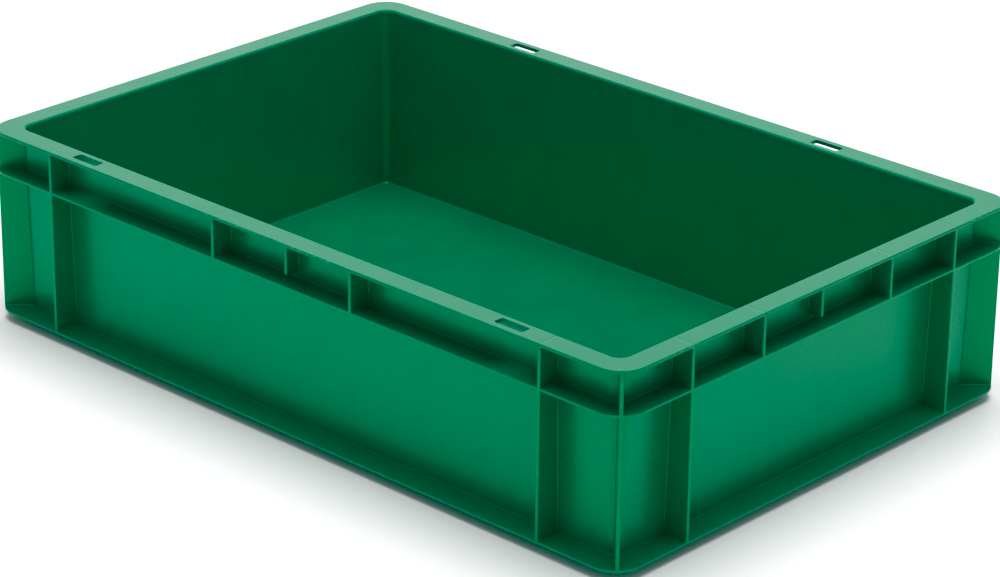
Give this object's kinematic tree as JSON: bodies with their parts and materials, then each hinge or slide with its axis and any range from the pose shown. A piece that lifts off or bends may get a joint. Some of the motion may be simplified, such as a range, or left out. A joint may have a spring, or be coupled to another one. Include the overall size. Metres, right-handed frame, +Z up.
{
  "type": "stacking plastic crate",
  "caption": "Shallow stacking crate in moulded plastic: closed drafted walls, ribbed outer frame of thin flanges, flat slotted rim, and a recessed foot that drops into the crate below.",
  "frame": {"origin": "centre of the footprint, on the plane the crate stands on", "axes": "+X along the long side, +Y from the front long side to the back one, +Z up"},
  "size_m": [0.6, 0.4, 0.145],
  "materials": {
    "crate_plastic": "green polypropylene, satin moulded finish"
  },
  "bodies": {
    "root": {"back_base_flange": "crate_plastic", "back_belt_flange": "crate_plastic", "back_channel_ribs": "crate_plastic", "back_foot": "crate_plastic", "back_left_base_corner": "crate_plastic", "back_left_belt_corner": "crate_plastic", "back_left_corner_rib": "crate_plastic", "back_left_corner_wall": "crate_plastic", "back_left_foot_corner": "crate_plastic", "back_left_panel_rib": "crate_plastic", "back_left_rim_corner": "crate_plastic", "back_right_base_corner": "crate_plastic", "back_right_belt_corner": "crate_plastic", "back_right_corner_rib": "crate_plastic", "back_right_corner_wall": "crate_plastic", "back_right_foot_corner": "crate_plastic", "back_right_panel_rib": "crate_plastic", "back_right_rim_corner": "crate_plastic", "back_rim_flange": "crate_plastic", "back_wall": "crate_plastic", "floor_panel": "crate_plastic", "front_base_flange": "crate_plastic", "front_belt_flange": "crate_plastic", "front_channel_ribs": "crate_plastic", "front_foot": "crate_plastic", "front_left_base_corner": "crate_plastic", "front_left_belt_corner": "crate_plastic", "front_left_corner_rib": "crate_plastic", "front_left_corner_wall": "crate_plastic", "front_left_foot_corner": "crate_plastic", "front_left_panel_rib": "crate_plastic", "front_left_rim_corner": "crate_plastic", "front_right_base_corner": "crate_plastic", "front_right_belt_corner": "crate_plastic", "front_right_corner_rib": "crate_plastic", "front_right_corner_wall": "crate_plastic", "front_right_foot_corner": "crate_plastic", "front_right_panel_rib": "crate_plastic", "front_right_rim_corner": "crate_plastic", "front_rim_flange": "crate_plastic", "front_wall": "crate_plastic", "left_back_panel_rib": "crate_plastic", "left_base_flange": "crate_plastic", "left_belt_flange": "crate_plastic", "left_channel_ribs": "crate_plastic", "left_foot": "crate_plastic", "left_front_panel_rib": "crate_plastic", "left_rim_flange": "crate_plastic", "left_wall": "crate_plastic", "right_back_panel_rib": "crate_plastic", "right_base_flange": "crate_plastic", "right_belt_flange": "crate_plastic", "right_channel_ribs": "crate_plastic", "right_foot": "crate_plastic", "right_front_panel_rib": "crate_plastic", "right_rim_flange": "crate_plastic", "right_wall": "crate_plastic"}
  },
  "joints": []
}
